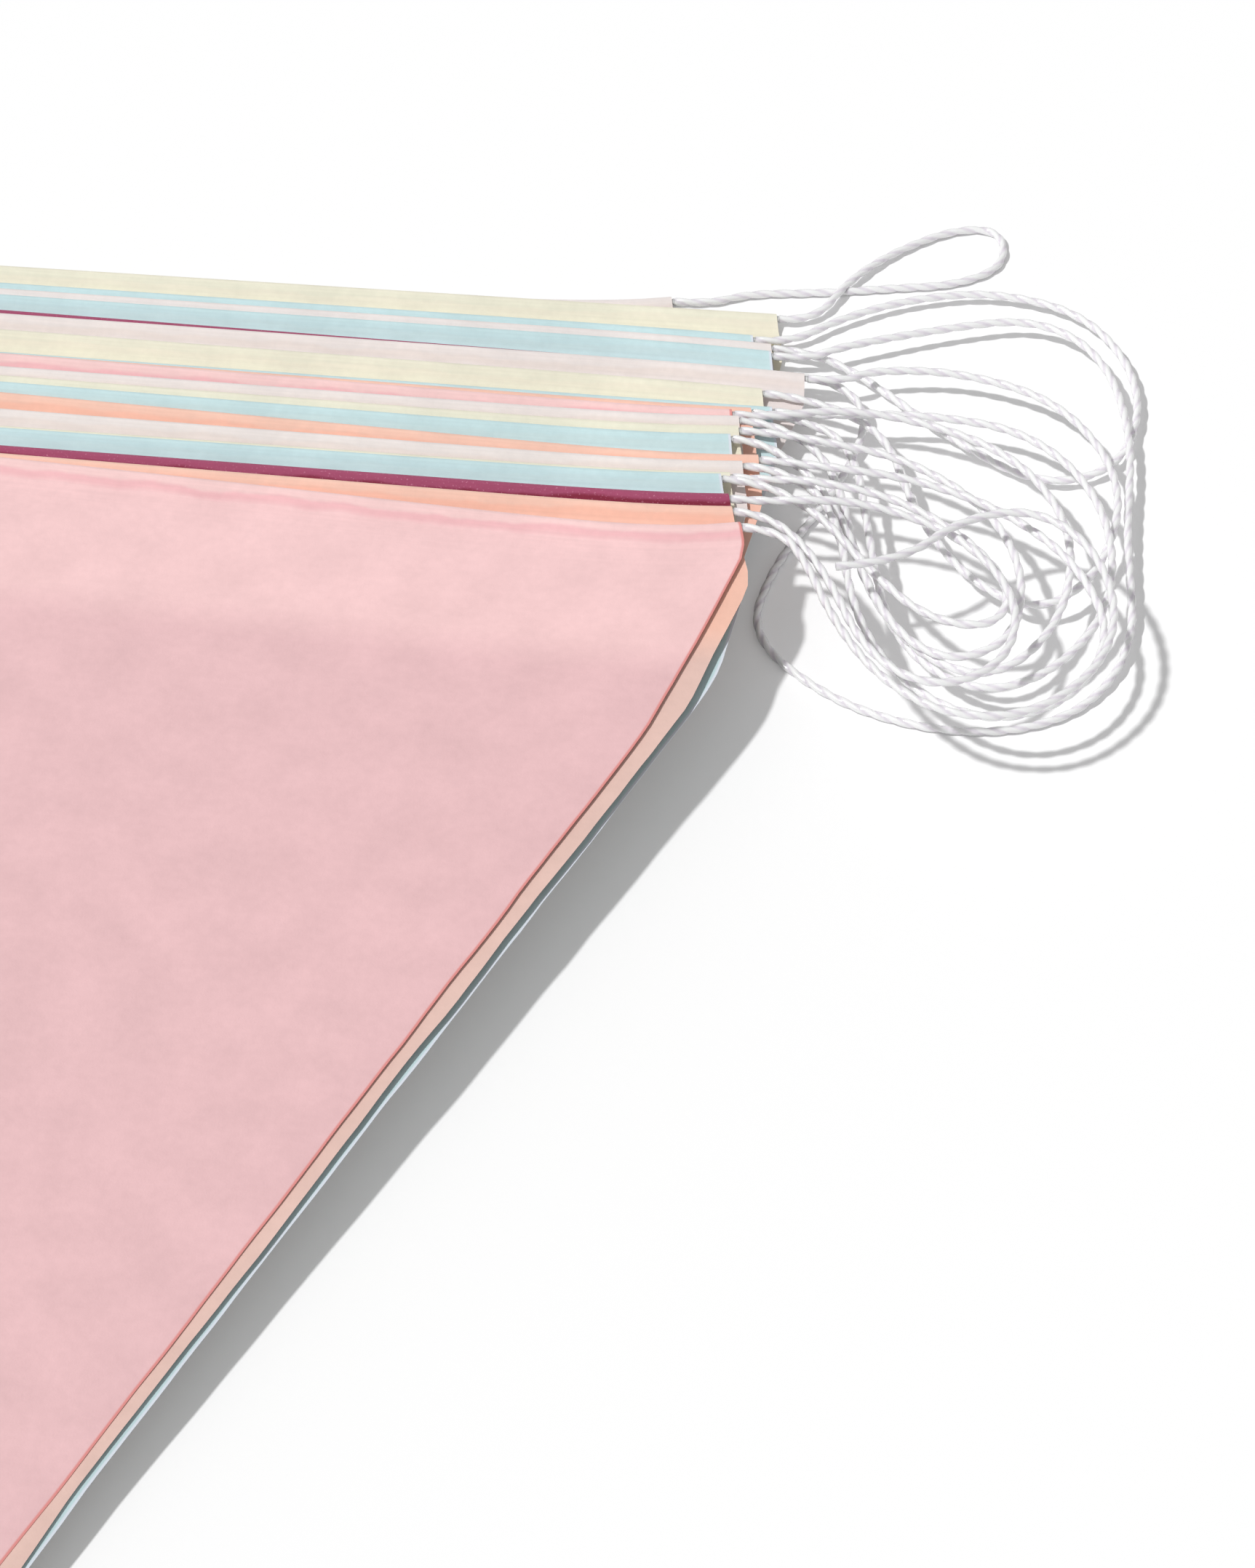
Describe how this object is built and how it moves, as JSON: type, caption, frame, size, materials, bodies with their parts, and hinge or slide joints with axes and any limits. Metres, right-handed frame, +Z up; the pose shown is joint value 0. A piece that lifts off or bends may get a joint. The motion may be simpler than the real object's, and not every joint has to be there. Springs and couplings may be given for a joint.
{
  "type": "paper bunting",
  "caption": "Paper pennants in soft colours on one thin white cord, folded away in a fanned pile with the cord looped out at both sides of the hems.",
  "frame": {"origin": "middle of the outline of the paper pile, on the table it lies on", "axes": "+Z up from the table, +Y from the pennants' tips to their hems, +X along the hems to the side of the large cord loops"},
  "size_m": [0.3253, 0.3453, 0.0181],
  "materials": {
    "paper_pink": "matt, fibrous tissue paper",
    "paper_peach": "matt, fibrous tissue paper",
    "paper_burgundy": "matt, fibrous tissue paper",
    "paper_blue": "matt, fibrous tissue paper",
    "paper_yellow": "matt, fibrous tissue paper",
    "paper_white": "matt, fibrous tissue paper",
    "cord": "glossy twisted filament"
  },
  "bodies": {
    "root": {"pennant_01_pink": "paper_pink", "pennant_02_peach": "paper_peach", "pennant_03_burgundy": "paper_burgundy", "pennant_04_blue": "paper_blue", "pennant_05_yellow": "paper_yellow", "pennant_06_white": "paper_white", "pennant_07_peach": "paper_peach", "pennant_08_blue": "paper_blue", "pennant_09_yellow": "paper_yellow", "pennant_10_white": "paper_white", "pennant_11_pink": "paper_pink", "pennant_12_peach": "paper_peach", "pennant_13_blue": "paper_blue", "pennant_14_yellow": "paper_yellow", "pennant_15_white": "paper_white", "pennant_16_burgundy": "paper_burgundy", "pennant_17_blue": "paper_blue", "pennant_18_white": "paper_white", "pennant_19_blue": "paper_blue", "pennant_20_yellow": "paper_yellow", "pennant_21_white": "paper_white", "cord_in_hems": "cord", "loop_right_02_03": "cord", "loop_right_04_05": "cord", "loop_right_06_07": "cord", "loop_right_08_09": "cord", "loop_right_10_11": "cord", "loop_right_12_13": "cord", "loop_right_14_15": "cord", "loop_right_16_17": "cord", "loop_right_18_19": "cord", "loop_right_20_21": "cord", "loop_left_01_02": "cord", "loop_left_03_04": "cord", "loop_left_05_06": "cord", "loop_left_07_08": "cord", "loop_left_09_10": "cord", "loop_left_11_12": "cord", "loop_left_13_14": "cord", "loop_left_15_16": "cord", "loop_left_17_18": "cord", "loop_left_19_20": "cord", "cord_tail_right": "cord", "cord_tail_left": "cord"}
  },
  "joints": []
}
